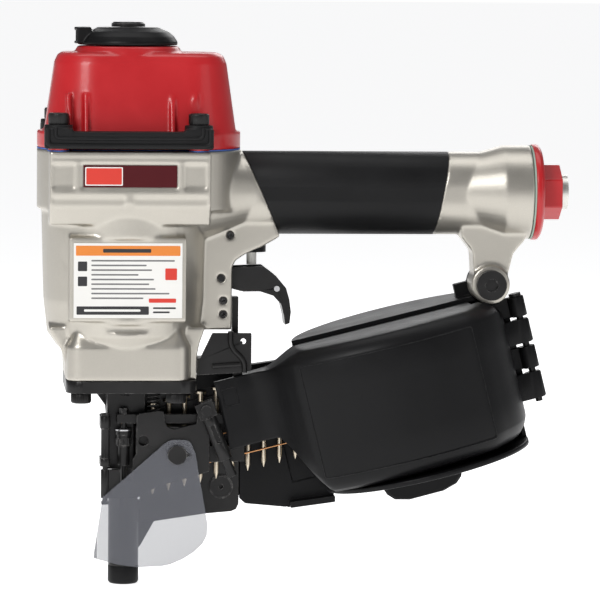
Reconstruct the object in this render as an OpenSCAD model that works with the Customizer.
// Pneumatic coil nailer: cast body and handle, red cylinder cap, firing and feed mechanisms, trigger,
// sliding contact arm, hinged feed door with clear shield, and a tilted drum magazine with a hinged cover.
// Origin: centre of the contact tip's bottom face. +Z up the driving axis, +X towards the handle's rear end.

/* [Contact tip and foot] */
// Radius of the rubber contact tip
tip_r = 7.5; // [6.5:0.1:8.5]
// Height of the rubber contact tip
tip_h = 9; // [7:0.5:12]
// Outer radius of the steel contact foot
foot_r = 7.4; // [7:0.1:8]
// Top of the contact foot
foot_top = 47; // [42:0.5:50]
// Travel of the contact arm
arm_travel = 8; // [5:0.5:8]

/* [Cylinder and piston] */
// Cylinder bore radius
bore_r = 23.5; // [22:0.5:24]
// Cylinder sleeve outer radius
sleeve_r = 26.5; // [25.5:0.5:27]
// Bottom of the cylinder sleeve
sleeve_z0 = 104.5; // [103:0.5:108]
// Top of the cylinder sleeve
sleeve_z1 = 211; // [208:0.5:211]
// Radius of the driver blade
driver_r = 3; // [2.5:0.1:3.2]
// Lower end of the driver blade at rest
driver_z0 = 87; // [86:0.5:90]

/* [Body casting] */
// Parting plane between body and cap
part_z = 213.3; // [212:0.1:215]
// Barrel radius at the top
barrel_r = 40.8; // [39:0.2:42]
// Bottom of the upper box section
box_z0 = 186; // [180:1:190]
// Half width of the upper box section
box_y = 44; // [42:0.5:46]
// Front end of the upper box section
box_x0 = -37.7; // [-39:0.1:-37]
// Rear end of the upper box section
box_x1 = 39.1; // [38.5:0.1:41]
// Bottom of the neck
neck_z0 = 102.5; // [100:0.5:105]
// Offset of the cap bolts along X
cap_bolt_x = 33.5; // [32:0.5:35]
// Offset of the cap bolts along Y
cap_bolt_y = 38.5; // [38:0.5:40]

/* [Cylinder cap] */
// Top of the cap's flange
flange_z1 = 222; // [220:0.5:224]
// Height of the cap's rim
rim_z = 260; // [256:1:264]
// Centre of the exhaust cover along X
exhaust_x = 1.2; // [0:0.1:3]
// Radius of the exhaust cover's base
exhaust_r = 24; // [22:0.5:26]
// Radius of the head valve
head_valve_r = 28.5; // [27:0.5:28.5]

/* [Handle] */
// Height of the handle's axis
handle_z = 192; // [190:0.5:194]
// Half width of the handle
handle_hw = 17; // [15:0.5:18]
// Half height of the handle
handle_hh = 20.3; // [19:0.1:21]
// Thickness of the rubber sleeve
grip_t = 1.6; // [1:0.1:2]
// Rear face of the handle casting
handle_x1 = 198.5; // [196:0.5:200]
// Radius of the handle's rear end
handle_end_r = 23; // [22:0.5:24]
// Radius of the air inlet's thread
inlet_r = 6.6; // [6:0.1:7]
// Arm bolt position along X
arm_x = 178.4; // [176:0.2:181]
// Arm bolt height
arm_z = 147.8; // [146:0.2:150]

/* [Trigger] */
// Trigger pivot position along X
pivot_x = 46.4; // [45.5:0.1:47]
// Trigger pivot height
pivot_z = 150.8; // [150:0.1:152]
// Contact lever pin position along X
lever_x = 74; // [73:0.1:75]
// Contact lever pin height
lever_z = 145.3; // [145:0.1:146]
// Valve stem position along X
stem_x = 62; // [61:0.2:63]

/* [Nose and door] */
// Door hinge pin position along X
hinge_x = -9.7; // [-10.5:0.1:-9]
// Door hinge pin position along Y
hinge_y = -17.5; // [-18:0.1:-17]
// Adjuster rod position along X
adjust_x = -0.5; // [-1:0.1:0]
// Adjuster rod position along Y
adjust_y = -12; // [-12.5:0.1:-11.5]
// Latch pivot position along X
latch_x = 38.8; // [38:0.1:40]
// Latch pivot height
latch_z = 87.5; // [87:0.1:88]

/* [Nails] */
// Spacing of the nails along X
nail_pitch = 7.8; // [7:0.1:8.5]
// Position of the first nail along X
nail_x0 = 6.4; // [6.2:0.1:7]
// Nail shank radius
nail_r = 1.15; // [1:0.05:1.3]
// Nail length
nail_len = 45; // [40:1:46]

/* [Magazine] */
// Tilt of the magazine
mag_tilt = 14; // [12:0.5:16]
// Magazine reference centre along X
mag_x = 145; // [142:0.5:148]
// Magazine reference centre height
mag_z = 92; // [90:0.5:94]
// Outer radius of the cover's drum
cover_r = 53; // [51:0.5:55]
// Outer radius of the case's drum
case_r = 51; // [50:0.5:52]
// Wall thickness
mag_t = 2.5; // [2:0.1:3]

/* [Hidden] */
$fn = 64;
drum_u = -4;
drum_v = -6;
hinge_u = 57;
port_n = 6;
red = [0.72, 0.07, 0.08];
silver = [0.72, 0.70, 0.66];
black = [0.09, 0.09, 0.10];
rubber = [0.05, 0.05, 0.055];
steel = [0.62, 0.63, 0.65];

// ---------- shared shapes ----------

// Vertical tapered block with round corners: half extents shrink together with the corner radius.
module tapered_block(x0, x1, y, z0, z1, r0, r1) {
    xa = x0 + r0;
    xb = x1 - r0;
    ya = y - r0;
    for (x = [xa, xb])
        for (s = [-1, 1])
            translate([x, s * ya, z0])
                cylinder(h = z1 - z0, r1 = r0, r2 = r1);
    translate([0, ya, 0])
        rotate([90, 0, 0])
            linear_extrude(height = 2 * ya)
                polygon([[xa - r0, z0], [xb + r0, z0], [xb + r1, z1], [xa - r1, z1]]);
    translate([xa, 0, 0])
        rotate([90, 0, 90])
            linear_extrude(height = xb - xa)
                polygon([[-ya - r0, z0], [ya + r0, z0], [ya + r1, z1], [-ya - r1, z1]]);
}

// Flat plate in the XZ plane between two Y values.
module xz_plate(points, y0, y1) {
    translate([0, y1, 0])
        rotate([90, 0, 0])
            linear_extrude(height = y1 - y0)
                polygon(points);
}

// Round bar along Y.
module y_bar(x, z, r, y0, y1) {
    translate([x, y1, z])
        rotate([90, 0, 0])
            cylinder(h = y1 - y0, r = r);
}

// Round bar along X.
module x_bar(y, z, r, x0, x1) {
    translate([x0, y, z])
        rotate([0, 90, 0])
            cylinder(h = x1 - x0, r = r);
}

// Outline of the oval handle, wider than tall by the difference of the two half sizes.
module handle_outline(hw, hh) {
    square([2 * (hh - hw), 2 * hw], center = true);
    for (s = [-1, 1])
        translate([s * (hh - hw), 0])
            circle(r = hw);
}

module handle_bar(hw, hh, x0, x1) {
    translate([x0, 0, handle_z])
        rotate([0, 90, 0])
            linear_extrude(height = x1 - x0)
                handle_outline(hw, hh);
}

// Coil spring along Z. The cut through one wire is a crescent, so the swept wire stays round.
function crescent(r, w, pitch) = concat(
    [for (i = [0:6]) spring_point(r, w, pitch, -1 + i / 3, 1)],
    [for (i = [1:5]) spring_point(r, w, pitch, 1 - i / 3, -1)]);
function spring_point(r, w, pitch, t, side) =
    [(r + side * w * sqrt(1 - t * t)) * cos(t * w / pitch * 360),
     (r + side * w * sqrt(1 - t * t)) * sin(t * w / pitch * 360)];

module coil_spring(r, w, h, turns) {
    linear_extrude(height = h, twist = -360 * turns, slices = turns * 16, $fn = 12)
        polygon(crescent(r, w, h / turns));
}

module ring(r_out, r_in, z0, z1) {
    translate([0, 0, z0])
        difference() {
            cylinder(h = z1 - z0, r = r_out);
            translate([0, 0, -1])
                cylinder(h = z1 - z0 + 2, r = r_in);
        }
}

module o_ring(r, w) {
    rotate_extrude()
        translate([r, 0])
            circle(r = w);
}

// Socket-head screw pointing down, head resting on z.
module screw_down(x, y, z, head_r, head_h, shank_r, shank_l) {
    translate([x, y, z])
        difference() {
            union() {
                cylinder(h = head_h, r = head_r);
                translate([0, 0, -shank_l])
                    cylinder(h = shank_l + 1, r = shank_r);
            }
            translate([0, 0, head_h * 0.4])
                cylinder(h = head_h, r = head_r * 0.5, $fn = 6);
        }
}

module at_cap_bolts() {
    for (x = [-1, 1])
        for (y = [-1, 1])
            translate([x * cap_bolt_x, y * cap_bolt_y, 0])
                children();
}

module at_nose_bolts() {
    for (x = [-21.9, 23.9])
        for (y = [-28, 28])
            translate([x, y, 0])
                children();
}

// Magazine frame: u towards the rear and up, v along Y, w up along the drum's axis.
module in_magazine() {
    translate([mag_x, 0, mag_z])
        rotate([0, -mag_tilt, 0])
            children();
}

// ---------- cylinder cap ----------

module exhaust_cover() color(black) translate([exhaust_x, 0, 263.4])
    difference() {
        union() {
            rotate_extrude()
                polygon([[4.05, 0], [8, 0], [8, 4.6], [12, 5.6], [17, 4.6], [20, 2.2], [20.6, 0], [exhaust_r, 0],
                         [exhaust_r, 1.6], [exhaust_r - 1.6, 4.2], [19.8, 6.4], [15.6, 8.1], [15, 8.6], [4.05, 8.6]]);
            translate([-26.2, -10, 0.6])
                cube([8, 20, 8]);
        }
        translate([-27, -8, 1.8])
            cube([13, 16, 5.2]);
        translate([16, 0, 0])
            ring(60, 42.2, -1, 12);
    }

module exhaust_bolt() color(black)
    translate([exhaust_x, 0, 0])
        difference() {
            union() {
                translate([0, 0, 256])
                    cylinder(h = 7.4, r = 2.5);
                translate([0, 0, 263])
                    cylinder(h = 9.3, r = 4);
                translate([0, 0, 272.3])
                    cylinder(h = 1.4, r = 8.2);
                translate([0, 0, 273.7])
                    cylinder(h = 0.9, r1 = 8.2, r2 = 7);
            }
            translate([0, 0, 273])
                cylinder(h = 3, r = 2.6, $fn = 6);
        }

module cap_flange_outline() {
    intersection() {
        union() {
            circle(r = 42.9);
            translate([15.8, 0])
                circle(r = 40.2);
            translate([0, -40.2])
                square([15.8, 80.4]);
        }
        translate([-60, -33.5])
            square([130, 67]);
    }
}

module cylinder_cap() color(red)
    difference() {
        union() {
            translate([0, 0, 213.8])
                linear_extrude(height = flange_z1 - 213.8)
                    cap_flange_outline();
            tapered_block(-39.5, 53.5, 33.4, flange_z1 - 1, 255, 25, 20);
            tapered_block(-34.5, 48.5, 28.4, 255, 258.5, 20, 18.4);
            tapered_block(-32.9, 46.9, 26.8, 258.5, rim_z, 18.4, 16);
            translate([exhaust_x, 0, rim_z - 0.5])
                cylinder(h = 3.5, r1 = 26.5, r2 = 24.4);
            for (sx = [-1, 1])
                for (sy = [-1, 1]) {
                    translate([sx * cap_bolt_x, sy * cap_bolt_y, 213.8])
                        cylinder(h = 4.2, r = 5.2);
                    translate([sx * cap_bolt_x - 5.2, sy > 0 ? 25 : -cap_bolt_y, 213.8])
                        cube([10.4, cap_bolt_y - 25, 4.2]);
                }
            for (x = [-28.6, -20.2, 21.3, 32.2])
                for (sy = [-1, 1])
                    translate([x - 1.2, 0, 0])
                        rotate([90, 0, 90])
                            linear_extrude(height = 2.4)
                                polygon([[sy * 20, 216], [sy * 37.5, 216], [sy * 37.5, 220], [sy * 33.6, 232],
                                         [sy * 30.6, 240.5], [sy * 20, 240.5]]);
        }
        translate([0, 0, 213])
            cylinder(h = 23, r = head_valve_r + 0.05);
        translate([0, 0, 230])
            cylinder(h = 11, r = 12.05);
        translate([0, 0, 240])
            cylinder(h = 15, r = 24);
        translate([exhaust_x, 0, 0])
            for (i = [0:port_n - 1])
                rotate([0, 0, i * 60 + 30])
                    translate([11, 0, 250])
                        cylinder(h = 20, r = 3.2);
        translate([exhaust_x, 0, 256])
            cylinder(h = 8, r = 2.5);
        at_cap_bolts() {
            translate([0, 0, 213])
                cylinder(h = 30, r = 3);
            translate([0, 0, 218])
                cylinder(h = 60, r = 7.2);
        }
    }

module cap_gasket() color([0.16, 0.33, 0.62])
    translate([0, 0, part_z])
        linear_extrude(height = 0.5)
            difference() {
                union() {
                    cap_flange_outline();
                    for (x = [-1, 1])
                        for (y = [-1, 1])
                            translate([x * cap_bolt_x, y * cap_bolt_y]) {
                                circle(r = 5.2);
                                translate([-5.2, y > 0 ? -10 : 0])
                                    square([10.4, 10]);
                            }
                }
                circle(r = 32);
                for (x = [-1, 1])
                    for (y = [-1, 1])
                        translate([x * cap_bolt_x, y * cap_bolt_y])
                            circle(r = 3);
            }

module cap_bolts() color(black)
    for (x = [-1, 1])
        for (y = [-1, 1])
            screw_down(x * cap_bolt_x, y * cap_bolt_y, 226, 5, 5.6, 2.9, 26);

// Rubber bar held under two cap bolts; side is -1 on the near side and 1 on the far side.
module bumper_bar(side) {
    difference() {
        union() {
            for (x = [-cap_bolt_x, cap_bolt_x]) {
                translate([x, side * cap_bolt_y, 214.6])
                    cylinder(h = 11.4, r = 6.8);
                translate([x - 6.8, side > 0 ? cap_bolt_y : -46, 214.6])
                    cube([13.6, 46 - cap_bolt_y, 9.6]);
            }
            translate([-cap_bolt_x, side > 0 ? 34.2 : -46, 214.6])
                cube([2 * cap_bolt_x, 11.8, 8.3]);
        }
        for (x = [-cap_bolt_x, cap_bolt_x]) {
            translate([x, side * cap_bolt_y, 213])
                cylinder(h = 5, r = 5.22);
            translate([x - 5.22, side > 0 ? 30 : -cap_bolt_y, 213])
                cube([10.44, cap_bolt_y - 30, 5]);
            translate([x, side * cap_bolt_y, 213])
                cylinder(h = 20, r = 3);
        }
        for (x = [-28.6, -20.2, 21.3, 32.2])
            translate([x - 1.25, side > 0 ? 30 : -37.6, 215])
                cube([2.5, 7.6, 12]);
        for (z = [216.6, 220.2])
            translate([-26, side > 0 ? 45.3 : -46.5, z - 0.5])
                cube([52, 1.2, 1]);
    }
}

module bumper_near() color(rubber) bumper_bar(-1);
module bumper_far() color(rubber) bumper_bar(1);

module head_valve() color([0.85, 0.85, 0.82])
    difference() {
        union() {
            translate([0, 0, 215])
                cylinder(h = 8, r = head_valve_r);
            translate([0, 0, 211.3])
                cylinder(h = 4, r = 26.5);
            translate([0, 0, 222])
                cylinder(h = 18, r = 12);
        }
        translate([0, 0, 205])
            cylinder(h = 50, r = 9);
        translate([0, 0, 219])
            rotate_extrude()
                translate([head_valve_r - 1.4, -1.3])
                    square([3, 2.6]);
    }

module head_valve_seal() color(rubber)
    translate([0, 0, 219])
        rotate_extrude()
            difference() {
                translate([head_valve_r - 1.4, -1.3])
                    square([1.42, 2.6]);
                translate([head_valve_r + 0.6, 0])
                    circle(r = 0.4);
            }

module head_valve_spring() color(steel)
    translate([0, 0, 223.3])
        coil_spring(19, 1.1, 12.4, 3);

// ---------- body casting ----------

module trigger_web() {
    xz_plate([[30, 126], [36, 125.6], [51.7, 125.6], [51.7, 156], [53.5, 159.5], [58, 162.5], [66, 166],
              [73, 170], [80, 175], [80, 190], [30, 190]], -13, 13);
}

module grip_zone(x_gap) {
    xz_plate([[54.5 + x_gap, 220], [56.3 + x_gap, 214], [75.1 + x_gap, 171.2], [77 + x_gap, 165],
              [149.4 - x_gap, 165], [150.6 - x_gap, 171.5], [158.4 - x_gap, 214], [159.5 - x_gap, 220]], -30, 30);
}

module housing_outer() {
    upper_box();
    translate([0, 0, 184])
        linear_extrude(height = part_z - 184)
            cap_flange_outline();
    translate([0, 0, 140])
        cylinder(h = 60, r1 = 39.6, r2 = barrel_r + 0.3);
    translate([0, 0, 124])
        cylinder(h = 16, r1 = 37.8, r2 = 39.6);
    translate([0, 0, 117])
        cylinder(h = 7, r1 = 33, r2 = 37.8);
    tapered_block(-28.9, 30.4, 34.2, neck_z0, 119, 7, 7);
    tapered_block(-28.9, 30.4, 34.2, 118.9, 130, 7, 1);
    xz_plate([[-29.3, neck_z0], [-29.6, 110], [-30.8, 115.5], [-33.2, 120.3], [-36.4, 124.6], [-37.6, 128],
              [38, 128], [37, 124.6], [35.4, 120.3], [34.4, 115.5], [34, 110], [34, neck_z0]], -25, 25);
    at_nose_bolts()
        translate([0, 0, neck_z0])
            cylinder(h = 14, r = 6);
    trigger_web();
    handle_bar(handle_hw, handle_hh, 30, 186);
    tapered_root();
    x_bar(0, handle_z + 0.6, handle_end_r, 185, handle_x1);
    translate([166, 0, handle_z + 0.6])
        rotate([0, 90, 0])
            cylinder(h = 19, r1 = 17.5, r2 = handle_end_r);
    rear_arm();
    xz_plate([[-28, 131.5], [28, 131.5], [28, 172], [-28, 172]], -38.4, -20);
}

// Flat-faced box round the top of the barrel, its underside sloping in to the barrel.
module upper_box() {
    difference() {
        rotate([90, 0, 90])
            translate([0, 0, box_x0])
                linear_extrude(height = box_x1 - box_x0)
                    polygon([[-box_y, part_z], [-box_y, 188], [-38, 178], [38, 178], [box_y, 188], [box_y, part_z]]);
        for (side = [-1, 1])
            translate([0, side > 0 ? box_y - 0.7 : -box_y - 0.3, 0]) {
                for (w = [[-36.9, -25.1], [-23.1, 24.1], [26.2, 37.6]])
                    translate([w[0], 0, 195.2])
                        cube([w[1] - w[0], 1, 12.8]);
                for (w = [[-36.9, -1.3], [2.2, 38.2]])
                    translate([w[0], 0, 170])
                        cube([w[1] - w[0], 1, 22]);
                translate([-36.9, 0, 209.4])
                    cube([75, 1, 1.1]);
            }
    }
}

// Thickening where the handle grows out of the barrel.
module tapered_root() {
    translate([34, 0, handle_z])
        rotate([0, 90, 0])
            cylinder(h = 30, r1 = 27, r2 = 17);
}

// Arm under the handle's rear end that carries the magazine.
module rear_arm() {
    xz_plate([[163.7, 180], [163.9, 171], [169.4, 164], [170.4, 150], [186.4, 150], [189.5, 163], [195.4, 170],
              [195.4, 180]], -12, 6);
    y_bar(arm_x, arm_z, 9.5, -14, 6);
}

module housing() color(silver)
    difference() {
        housing_outer();
        translate([0, 0, part_z])
            linear_extrude(height = 30)
                translate([-60, -60])
                    square([116.4, 120]);
        translate([0, 0, 128])
            cylinder(h = 100, r = 32);
        translate([0, 0, 100])
            cylinder(h = 40, r = sleeve_r + 0.05);
        x_bar(0, handle_z + 0.6, 11.5, 20, 210);
        translate([stem_x, 0, 160])
            cylinder(h = 30, r = 7);
        translate([41, -8.1, 143.6])
            cube([20, 16.2, 17.4]);
        at_cap_bolts()
            translate([0, 0, 196])
                cylinder(h = 20, r = 2.9);
        at_nose_bolts()
            translate([0, 0, 102])
                cylinder(h = 11, r = 2.6);
        y_bar(pivot_x, pivot_z, 1.7, -14, 14);
        for (p = [[50.7, 171.7], [47.5, 139.8], [47.5, 133.2]])
            y_bar(p[0], p[1], 1.7, -14, 14);
        y_bar(arm_x, arm_z, 4, -20, 20);
        intersection() {
            difference() {
                handle_bar(30, 33, 50, 165);
                handle_bar(handle_hw - grip_t, handle_hh - grip_t, 49, 166);
            }
            grip_zone(0);
            translate([50, -30, 165])
                cube([120, 60, 60]);
        }
        translate([-60, -60, 132.5])
            cube([120, 60 - 38.4, 38.6]);
        translate([-13, -46, 126])
            cube([29, 9.4, 4]);
    }

module grip_sleeve() color(rubber)
    intersection() {
        difference() {
            handle_bar(handle_hw, handle_hh, 50, 165);
            handle_bar(handle_hw - grip_t, handle_hh - grip_t, 49, 166);
        }
        grip_zone(0.1);
    }

module name_plate() color([0.42, 0.04, 0.07])
    xz_plate([[-21.7, 196.4], [22.9, 196.4], [22.9, 206.8], [-21.7, 206.8]], -43.9, -43.3);

module label_plate() color([0.93, 0.93, 0.91])
    xz_plate([[-26, 133.5], [26, 133.5], [26, 169.4], [-26, 169.4]], -39, -38.4);

module cylinder_sleeve() color(steel)
    difference() {
        ring(sleeve_r, bore_r, sleeve_z0, sleeve_z1);
        for (i = [0:5])
            rotate([0, 0, i * 60])
                translate([bore_r - 2, 0, 131])
                    rotate([0, 90, 0])
                        cylinder(h = 8, r = 1.5);
        for (z = [112, 122])
            translate([0, 0, z])
                rotate_extrude()
                    translate([sleeve_r - 1.2, -1.2])
                        square([3, 2.4]);
    }

module cylinder_seals() color(rubber)
    for (z = [112, 122])
        translate([0, 0, z])
            rotate_extrude()
                translate([sleeve_r - 1.2, -1.2])
                    square([1.22, 2.4]);

module piston() color(steel)
    difference() {
        union() {
            translate([0, 0, 198])
                cylinder(h = 11, r = bore_r - 0.05);
            translate([0, 0, 195])
                cylinder(h = 4, r = 9);
        }
        translate([0, 0, 205])
            ring(19, 8, 0, 10);
        translate([0, 0, 202.5])
            rotate_extrude()
                translate([bore_r - 2, -1.4])
                    square([3, 2.8]);
        translate([0, 0, 190])
            cylinder(h = 14, r = driver_r);
    }

module piston_ring() color(rubber)
    translate([0, 0, 202.5])
        rotate_extrude()
            translate([bore_r - 2, -1.4])
                square([1.97, 2.8]);

module driver_blade() color([0.5, 0.5, 0.52])
    translate([0, 0, driver_z0])
        cylinder(h = 204 - driver_z0, r = driver_r);

module piston_bumper() color([0.1, 0.1, 0.1])
    difference() {
        union() {
            translate([0, 0, neck_z0])
                cylinder(h = 2, r = 26.4);
            translate([0, 0, neck_z0 + 1])
                cylinder(h = 12.5, r = 23);
        }
        translate([0, 0, 100])
            cylinder(h = 40, r = driver_r + 1.5);
    }

// ---------- rear end of the handle ----------

module end_cap() color(red)
    difference() {
        union() {
            x_bar(0, handle_z + 0.6, 23.5, 199.3, 202);
            translate([202, 0, handle_z + 0.6])
                rotate([0, 90, 0])
                    cylinder(h = 1.6, r1 = 23.5, r2 = 21.5);
            translate([203, 0, handle_z + 0.6])
                rotate([0, 90, 0])
                    cylinder(h = 10.6, r = 13.6, $fn = 6);
            x_bar(0, handle_z + 0.6, 11.4, 194, 200);
        }
        x_bar(0, handle_z + 0.6, 8.5, 203.4, 220);
        x_bar(0, handle_z + 0.6, 6.6, 190, 206);
    }

module end_cap_gasket() color([0.45, 0.55, 0.5])
    translate([handle_x1, 0, handle_z + 0.6])
        rotate([0, 90, 0])
            ring(23, 11.5, 0, 0.8);

module inlet_bushing() color([0.75, 0.75, 0.72])
    translate([203.4, 0, handle_z + 0.6])
        rotate([0, 90, 0])
            ring(8.5, inlet_r, 0, 13.6);

module air_filter() color([0.7, 0.6, 0.35])
    translate([182, 0, handle_z + 0.6])
        rotate([0, 90, 0])
            difference() {
                union() {
                    cylinder(h = 12, r = 6);
                    translate([0, 0, 10])
                        cylinder(h = 2, r = 11.4);
                }
                translate([0, 0, 2])
                    cylinder(h = 12, r = 5);
            }

// ---------- trigger and valve ----------

module trigger() color(black)
    difference() {
        union() {
            for (s = [-1, 1])
                difference() {
                    union() {
                        xz_plate([[46.4, 146.8], [56.5, 144.1], [66, 143.9], [72.4, 141.8], [76.2, 137.6], [77.6, 132],
                                  [78.2, 127.6], [80.4, 128.4], [81, 134], [80.2, 140], [78.6, 145.6], [73.5, 151.6],
                                  [67.2, 156.3], [54, 155.8], [46.4, 154.8]],
                                 s > 0 ? 6 : -7.6, s > 0 ? 7.6 : -6);
                        y_bar(pivot_x, pivot_z, 4, s > 0 ? 6 : -7.6, s > 0 ? 7.6 : -6);
                    }
                    y_bar(pivot_x, pivot_z, 1.75, -10, 10);
                    y_bar(lever_x, lever_z, 1.4, -10, 10);
                }
            xz_plate([[57.5, 143.9], [66, 143.9], [72.4, 141.8], [76.2, 137.6], [77.6, 132], [78.2, 127.6],
                      [80.4, 128.4], [79.2, 133], [77.6, 138.6], [73.2, 143.2], [66.4, 145.5], [57.5, 145.5]],
                     -6.5, 6.5);
        }
        y_bar(lever_x, lever_z, 3.2, -4.8, 4.8);
        y_bar(lever_x, lever_z, 1.4, -10, 10);
    }

module trigger_lever() color([0.35, 0.35, 0.36])
    difference() {
        union() {
            xz_plate([[71.5, 144.6], [76, 146.5], [74.6, 148.6], [66, 153.6], [60, 155], [53.4, 154.4], [53.4, 151.8],
                      [60, 152], [65, 150.8], [70.6, 146.4]], -4.4, 4.4);
            y_bar(lever_x, lever_z, 2.7, -4.4, 4.4);
        }
        y_bar(lever_x, lever_z, 1.45, -10, 10);
    }

module lever_pin() color(steel) y_bar(lever_x, lever_z, 1.4, -7.9, 7.9);
module pivot_pin() color(steel) y_bar(pivot_x, pivot_z, 1.7, -13.3, 13.3);

module roll_pins() color(steel)
    for (p = [[50.7, 171.7], [47.5, 139.8], [47.5, 133.2]])
        difference() {
            y_bar(p[0], p[1], 1.7, -13.3, 13.3);
            y_bar(p[0], p[1], 0.8, -15, 15);
        }

module valve_housing() color([0.2, 0.2, 0.21])
    translate([stem_x, 0, 0])
        difference() {
            union() {
                translate([0, 0, 163])
                    cylinder(h = 18, r = 7);
            }
            translate([0, 0, 160])
                cylinder(h = 12, r = 2.5);
            translate([0, 0, 169])
                cylinder(h = 10, r = 4.6);
            translate([0, 0, 178])
                cylinder(h = 5, r = 1.5);
        }

module valve_stem() color([0.9, 0.9, 0.88])
    translate([stem_x, 0, 0]) {
        translate([0, 0, 156.8])
            cylinder(h = 15, r = 2.45);
        translate([0, 0, 170.2])
            cylinder(h = 1.6, r = 4.2);
    }

module valve_spring() color(steel)
    translate([stem_x, 0, 172.4])
        coil_spring(3.3, 0.4, 6, 4);

// ---------- contact arm ----------

module contact_arm() color(black)
    difference() {
        union() {
            translate([-4, -14, 80])
                cube([61, 4, 4.5]);
            translate([52.4, -14, 80])
                cube([4.6, 4, 40]);
            translate([52.4, -14, 112])
                cube([3.1, 18.5, 8]);
            translate([52.4, -4.5, 112])
                cube([3.1, 9, 29]);
        }
        translate([adjust_x, adjust_y, 70])
            cylinder(h = 30, r = 1.4);
    }

module arm_spring() color(steel)
    translate([14, -12, 84.9])
        coil_spring(2.6, 0.45, 11.2, 5);

module arm_guide() color(black)
    difference() {
        union() {
            xz_plate([[34.5, 104], [36, 112], [42, 124.5], [61, 124.5], [61, 106.6], [54, 105]], -18.6, -16.6);
            translate([34.9, -18.6, 104])
                cube([3, 18, 8]);
        }
        y_bar(57, 120.5, 1.4, -20, -10);
    }

module adjuster_dial() color(black)
    translate([adjust_x, adjust_y, 0])
        difference() {
            union() {
                ring(3.5, 1.45, 69, 76.8);
                ring(3.95, 1.45, 69.4, 72.6);
                ring(3.95, 1.45, 74.4, 76.6);
            }
            for (i = [0:11])
                rotate([0, 0, i * 30])
                    translate([4.1, 0, 69])
                        cylinder(h = 4, r = 0.45, $fn = 12);
        }

module contact_foot() color(black)
    union() {
        difference() {
            ring(foot_r, 6.2, tip_h, foot_top);
            translate([0, -3, 30])
                cube([12, 6, 30]);
        }
        translate([adjust_x, adjust_y, 40])
            cylinder(h = 45, r = 1.4);
        translate([adjust_x, adjust_y, 59.5])
            cylinder(h = 9.2, r = 2.9);
        translate([adjust_x, adjust_y, 84.5])
            cylinder(h = 2.8, r = 2.3, $fn = 6);
        translate([-2.5, -13, 39])
            cube([4, 6.4, 7]);
    }

module contact_tip() color(rubber)
    difference() {
        union() {
            cylinder(h = 1, r1 = tip_r - 0.9, r2 = tip_r);
            translate([0, 0, 1])
                cylinder(h = tip_h - 1, r = tip_r);
        }
        translate([0, 0, -1])
            cylinder(h = tip_h + 2, r = 4.2);
    }

// ---------- nose, feed and door ----------

module nose_body() color(black)
    difference() {
        union() {
            tapered_block(-29.2, 33.9, 34.2, 96.5, neck_z0, 8, 8);
            xz_plate([[-16, 96.7], [-9, 87], [-8.4, 80], [8, 80], [52, 91], [54, 97], [40, 99.5], [33, 96.7]], 3.9, 6.4);
            translate([0, 0, 93])
                cylinder(h = 3.6, r1 = 8.4, r2 = 9.3);
            translate([-8.5, -8, 57])
                cube([18.5, 18, 40]);
            translate([0, 0, 17.6])
                cylinder(h = 40.4, r = 5.9);
            xz_plate([[5.5, 57], [8.2, 57], [8.2, 28.8], [40, 33.5], [53, 34.6], [55.6, 35.7], [56.8, 38.4],
                      [56.8, 60], [52, 94], [8, 84]], 2.6, 6);
            translate([3.4, 2.6, 57])
                cube([8, 7.4, 30]);
            xz_plate([[6.2, 34], [24, 35], [16, 30], [8.4, 16.4], [6.4, 16.4]], 8.2, 10.4);
            xz_plate([[5.5, 34], [30, 35], [30, 40], [5.5, 40]], 5.9, 10.4);
            translate([hinge_x, hinge_y, 59.7])
                cylinder(h = 24, r = 2.1);
            for (z = [[59.5, 63.5], [78, 84]]) {
                translate([-12.2, hinge_y, z[0]])
                    cube([4.4, 12, z[1] - z[0]]);
                translate([hinge_x, hinge_y, z[0]])
                    cylinder(h = z[1] - z[0], r = 2.5);
            }
            in_feed()
                translate([5, -13.5, -6])
                    cube([20, 6, 12]);
        }
        in_feed()
            x_bar(0, 0, 9.7, -5, 40);
        translate([0, 0, 5])
            cylinder(h = 120, r = 3.3);
        translate([0, -1.6, 36])
            cube([14, 3.2, 47]);
        translate([0, -3.4, 79])
            cube([14, 6.8, 8.4]);
        translate([4.5, -9, 56])
            cube([10, 11.6, 24]);
        at_nose_bolts()
            translate([0, 0, 90])
                cylinder(h = 20, r = 2.6);
        translate([hinge_x, hinge_y, 56])
            cylinder(h = 32, r = 1.3);
        in_feed()
            translate([-18.6, -19, -3.4])
                cube([16.6, 9, 6.8]);
        y_bar(48, 47, 2.1, 0, 8);
    }

module nose_bolts() color([0.15, 0.15, 0.16])
    for (x = [-21.9, 23.9])
        for (y = [-28, 28])
            translate([x, y, 96.5])
                rotate([180, 0, 0])
                    screw_down(0, 0, 0, 5, 5, 2.55, 16);

module in_feed() {
    translate([31, 19, 69.2])
        rotate([0, -mag_tilt, 0])
            children();
}

module feed_cylinder() color(black)
    in_feed()
        difference() {
            union() {
                x_bar(0, 0, 9.7, 0, 32);
                x_bar(0, 0, 10.6, 0, 3);
                x_bar(0, 0, 10.6, 29, 32);
            }
            x_bar(0, 0, 7.05, 3, 40);
            x_bar(0, 0, 2.55, -5, 10);
        }

module feed_end_cap() color([0.2, 0.2, 0.21])
    in_feed() {
        x_bar(0, 0, 10.6, 32, 35);
        x_bar(0, 0, 7, 30, 33);
        x_bar(0, 0, 4, 35, 37);
    }

module feed_piston() color(steel)
    in_feed()
        difference() {
            union() {
                x_bar(0, 0, 7, 4, 12);
                x_bar(0, 0, 2.5, -14, 5);
                translate([-18, -7, -3.4])
                    cube([8, 9.4, 6.8]);
            }
            translate([-19, -9, -1.8])
                cube([7.6, 8, 3.6]);
            translate([-15, -4.6, -5])
                cylinder(h = 10, r = 1.2);
        }

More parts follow.
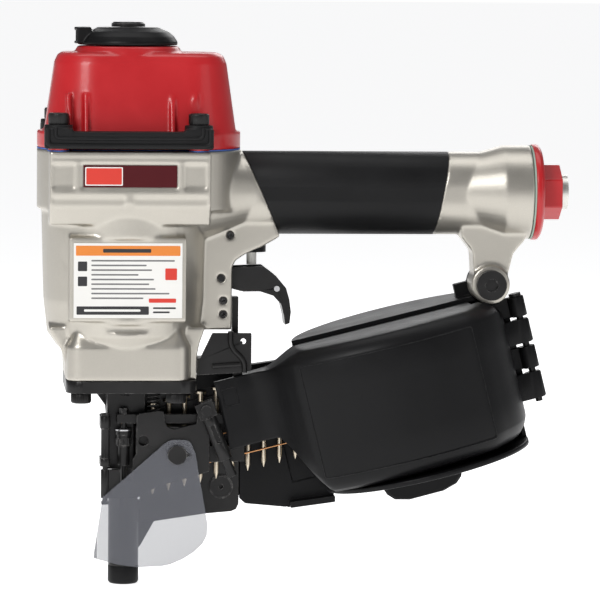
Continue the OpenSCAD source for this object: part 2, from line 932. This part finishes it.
module feed_pawl() color([0.3, 0.3, 0.31])
    in_feed()
        difference() {
            union() {
                translate([-15, -4.6, -1.5])
                    cylinder(h = 3, r = 2.6);
                translate([0, 0, -1.5])
                    linear_extrude(height = 3)
                        polygon([[-16.9, -4.6], [-16.2, -12], [-14.9, -17.2], [-12.6, -16.6], [-12.4, -14], [-12.8, -4.6]]);
            }
            translate([-15, -4.6, -5])
                cylinder(h = 10, r = 1.25);
        }

module pawl_pin() color(steel)
    in_feed()
        translate([-15, -4.6, -3.4])
            cylinder(h = 6.8, r = 1.2);

module door() color(black)
    difference() {
        union() {
            xz_plate([[5.4, 84.2], [5.4, 66], [3.6, 63], [3.6, 52], [-9.7, 52], [-9.7, 44], [6, 44], [8.6, 46], [17.6, 50.4],
                      [35.8, 55.3], [41, 57], [41, 83], [43.6, 86], [43.6, 91], [35.4, 91], [34.6, 80.3], [24, 77.6],
                      [20.6, 78.6], [19.4, 81], [18.6, 86.4], [16, 86.6], [7, 85.4]], -18.5, -16.5);
            xz_plate([[5.2, 58], [40, 62], [40, 78.6], [5.2, 78.6]], -16.6, -2.2);
            xz_plate([[39, 60.5], [58.6, 61], [58.6, 68.6], [39, 68.6]], -11, -3.2);
            translate([hinge_x, hinge_y, 44])
                cylinder(h = 14, r = 2.1);
            xz_plate([[-9.7, 44], [-2.4, 44], [-2.4, 58], [-9.7, 58]], -18.5, -16.5);
        }
        translate([hinge_x, hinge_y, 40])
            cylinder(h = 30, r = 1.35);
        y_bar(8.8, 72, 2.4, -22, -14);
        y_bar(latch_x, latch_z, 1.6, -20, -15);
        y_bar(25, 65.5, 3, -20, -15);
    }

module door_hinge_pin() color([0.3, 0.3, 0.31])
    translate([hinge_x, hinge_y, 0]) {
        translate([0, 0, 42])
            cylinder(h = 42.6, r = 1.3);
        translate([0, 0, 84])
            cylinder(h = 1.4, r = 2.1);
        translate([0, 0, 41])
            cylinder(h = 1.6, r = 1.9);
    }

module door_latch() color(black)
    difference() {
        union() {
            translate([latch_x, 0, latch_z])
                rotate([0, -22, 0]) {
                    translate([-4.5, -25, -4])
                        cube([9, 6, 8]);
                    translate([0, -22, -26])
                        cylinder(h = 22, r = 3.45);
                    translate([0, -22, -35])
                        cylinder(h = 10, r = 2.4);
                }
        }
        y_bar(latch_x, latch_z, 1.65, -30, -15);
        translate([latch_x, 0, latch_z])
            rotate([0, -22, 0])
                translate([-1.1, -27, -17])
                    cube([2.2, 4, 9]);
    }

module latch_pin() color(steel) {
    y_bar(latch_x, latch_z, 1.6, -25.6, -16.5);
    y_bar(latch_x, latch_z, 2.6, -26.6, -25.3);
}

module shield_outline() {
    polygon([[-9.4, 46], [18.6, 70.6], [20.4, 71.9], [22.4, 72.7], [29.2, 72.7], [30.9, 72], [32.1, 70.6], [34, 65.8],
             [39.2, 36], [40.1, 31], [39.7, 26], [37.6, 22], [33.3, 17.9], [27.9, 14.5], [22, 12], [18.2, 11.2],
             [5.4, 10.6], [-4, 12], [-15.4, 15.2], [-14.6, 20], [-11, 45]]);
}

module shield() color([0.75, 0.78, 0.84, 0.45])
    difference() {
        intersection() {
            translate([0, -10, 0])
                rotate([90, 0, 0])
                    linear_extrude(height = 20)
                        shield_outline();
            union() {
                translate([-16, -21.6, 5])
                    cube([58, 1.6, 75]);
                translate([-10, -16.6, 5])
                    intersection() {
                        ring(5, 3.4, 0, 75);
                        translate([-6, -6, 0])
                            cube([6, 6, 75]);
                    }
            }
        }
        y_bar(25, 65.5, 3, -25, -15);
    }

module shield_stud() color([0.25, 0.25, 0.26])
    difference() {
        union() {
            y_bar(25, 65.5, 3, -22, -16.6);
            y_bar(25, 65.5, 4.6, -23.4, -21.6);
            xz_plate([[28, 67.4], [32, 65.5], [28, 63.6]], -22.8, -21.6);
        }
    }

module table_screw() color([0.3, 0.3, 0.31])
    difference() {
        union() {
            y_bar(48, 47, 5.9, 1.6, 2.6);
            y_bar(48, 47, 2.05, 1.6, 8);
        }
        y_bar(48, 47, 1.1, 0, 4);
    }

// ---------- magazine ----------

module drum(r, v_side, w0, w1) {
    translate([drum_u, drum_v, w0])
        intersection() {
            cylinder(h = w1 - w0, r = r);
            translate([-100, v_side > 0 ? 0.5 : -100.5, 0])
                cube([200, 100, w1 - w0]);
        }
}

module magazine_case() color(black) {
    difference() {
        union() {
            in_magazine() {
                drum(case_r, 1, -34, 42);
                translate([drum_u, drum_v, -34])
                    cylinder(h = 2.5, r = case_r);
                translate([30, 6.8, 40])
                    cube([21.6, 5, 8.6]);
                for (w = [[27, 37], [1, 12]]) {
                    translate([40, -5.5, w[0]])
                        cube([hinge_u - 40, 3.5, w[1] - w[0]]);
                    translate([hinge_u, drum_v, w[0]])
                        cylinder(h = w[1] - w[0], r = 4);
                }
            }
            xz_plate([[57.2, 41], [60, 38.4], [80, 36.6], [104, 40], [104, 112], [86, 108.6], [57.2, 101]], 3.9, 7);
            xz_plate([[57.2, 99.8], [86, 107], [104, 111.4], [104, 113.9], [86, 111], [57.2, 106.8]], -1, 6);
            xz_plate([[34.6, 94.6], [58, 100], [58, 106.9], [34.6, 101.8]], -1, 3.6);
            xz_plate([[82, 37], [104, 40], [104, 43], [82, 40]], -4, 6);
            y_bar(arm_x, arm_z, 9, 6.3, 12.3);
        }
        in_magazine() {
            drum(case_r - mag_t, 1, -31.5, 39.5);
            translate([-70, -5.8, -27])
                cube([30, 9.8, 60]);
            translate([hinge_u, drum_v, -40])
                cylinder(h = 100, r = 1.75);
        }
        y_bar(arm_x, arm_z, 10.2, -20, 6.3);
        y_bar(arm_x, arm_z, 8.4, 12.3, 22);
        y_bar(arm_x, arm_z, 4, -20, 20);
    }
    in_magazine()
        translate([drum_u, drum_v, -33])
            cylinder(h = 48, r = 4);
}

module cover_shell() {
    difference() {
        union() {
            drum(cover_r, -1, -25, 34);
            translate([drum_u, drum_v, 34])
                bevel_half(cover_r, cover_r - 6, 6);
            translate([drum_u, drum_v, -31])
                bevel_half(cover_r - 5, cover_r, 6);
            translate([-97, -19.5, -6])
                cube([51, 13, 39]);
            translate([42, -10, 14])
                cube([15, 3.5, 11.6]);
            translate([42, -10, -14])
                cube([15, 3.5, 13]);
        }
        drum(cover_r - mag_t, -1, -25.1, 34.1);
        translate([drum_u, drum_v, 34])
            bevel_half(cover_r - mag_t, cover_r - 5.5, 3.5);
        translate([drum_u, drum_v, -31.1])
            bevel_half(cover_r - 7.5, cover_r - mag_t, 6.1);
        translate([-99, -17, -8])
            cube([60, 12, 38.4]);
        translate([hinge_u, drum_v, 36.2])
            cylinder(h = 10, r = 21);
    }
    for (w = [[14, 25.6], [-14, -1]])
        translate([hinge_u, drum_v, w[0]])
            cylinder(h = w[1] - w[0], r = 4);
}

module bevel_half(r1, r2, h) {
    intersection() {
        cylinder(h = h, r1 = r1, r2 = r2);
        translate([-100, -100.5, 0])
            cube([200, 100, h]);
    }
}

module magazine_cover() color(black)
    difference() {
        in_magazine()
            cover_shell();
        in_magazine()
            translate([hinge_u, drum_v, -40])
                cylinder(h = 100, r = 1.75);
        translate([50, -15.4, 90])
            cube([9, 20, 30]);
        xz_plate([[40, 60], [77, 60], [77, 74], [53, 72.5], [40, 70]], -40, 10);
    }

module cover_hinge_pin() color(steel)
    in_magazine()
        translate([hinge_u, drum_v, 0]) {
            translate([0, 0, -16])
                cylinder(h = 53.5, r = 1.7);
            translate([0, 0, 37.2])
                cylinder(h = 1.4, r = 3);
        }

module nail_support() color([0.16, 0.16, 0.17])
    in_magazine()
        translate([drum_u, drum_v, 0])
            difference() {
                union() {
                    translate([0, 0, -19.4])
                        cylinder(h = 2.4, r = 42);
                    translate([0, 0, -19.4])
                        cylinder(h = 26, r = 7);
                }
                translate([0, 0, -30])
                    cylinder(h = 60, r = 4.3);
            }

module arm_bolt() color(black)
    difference() {
        union() {
            y_bar(arm_x, arm_z, 3.95, -15, 14);
            y_bar(arm_x, arm_z, 7.4, -17.6, -14);
            y_bar(arm_x, arm_z, 6.4, 12.3, 16.3);
        }
        translate([arm_x, -16.2, arm_z])
            rotate([90, 0, 0])
                cylinder(h = 4, r = 3.4, $fn = 6);
    }

// ---------- nails ----------

// Straight part of the strip, then the tail that curls into the drum, as [u, v] in the magazine frame.
tail = [[-58.2, 0], [-50.3, -0.9], [-43.4, -4.6], [-38.2, -10.6], [-33.8, -17.2], [-28.6, -23.2], [-22.2, -27.8],
        [-15, -30.8], [-7.3, -32.2]];

function tip_z(x) = 39.9 + 0.2493 * x;

module nail() {
    translate([0, 0, 3])
        cylinder(h = nail_len - 4, r = nail_r, $fn = 12);
    cylinder(h = 3.01, r1 = 0.2, r2 = nail_r, $fn = 12);
    translate([0, 0, nail_len - 1.1])
        cylinder(h = 1.1, r = 2.85, $fn = 16);
}

module nails() color([0.66, 0.64, 0.6]) {
    for (i = [0:10])
        translate([nail_x0 + i * nail_pitch, 0, tip_z(nail_x0 + i * nail_pitch)])
            nail();
    in_magazine()
        for (p = tail)
            translate([p[0], p[1], -15.5])
                rotate([0, mag_tilt, 0])
                    nail();
}

module collation_wires() color([0.72, 0.4, 0.2])
    in_magazine()
        for (w = [-6.6, 5.5]) {
            x_bar(-nail_r - 0.42, w, 0.4, -144 + (w + 15.5) * 0.2493, -57);
        }

exhaust_cover();
exhaust_bolt();
cylinder_cap();
cap_gasket();
cap_bolts();
bumper_near();
bumper_far();
head_valve();
head_valve_spring();
head_valve_seal();
housing();
grip_sleeve();
name_plate();
label_plate();
cylinder_sleeve();
cylinder_seals();
piston();
piston_ring();
driver_blade();
piston_bumper();
end_cap();
end_cap_gasket();
inlet_bushing();
air_filter();
trigger();
trigger_lever();
lever_pin();
pivot_pin();
roll_pins();
valve_housing();
valve_stem();
valve_spring();
contact_arm();
arm_spring();
arm_guide();
adjuster_dial();
contact_foot();
contact_tip();
nose_body();
nose_bolts();
feed_cylinder();
feed_end_cap();
feed_piston();
feed_pawl();
pawl_pin();
door();
door_hinge_pin();
door_latch();
latch_pin();
shield();
shield_stud();
table_screw();
magazine_case();
magazine_cover();
cover_hinge_pin();
nail_support();
arm_bolt();
nails();
collation_wires();
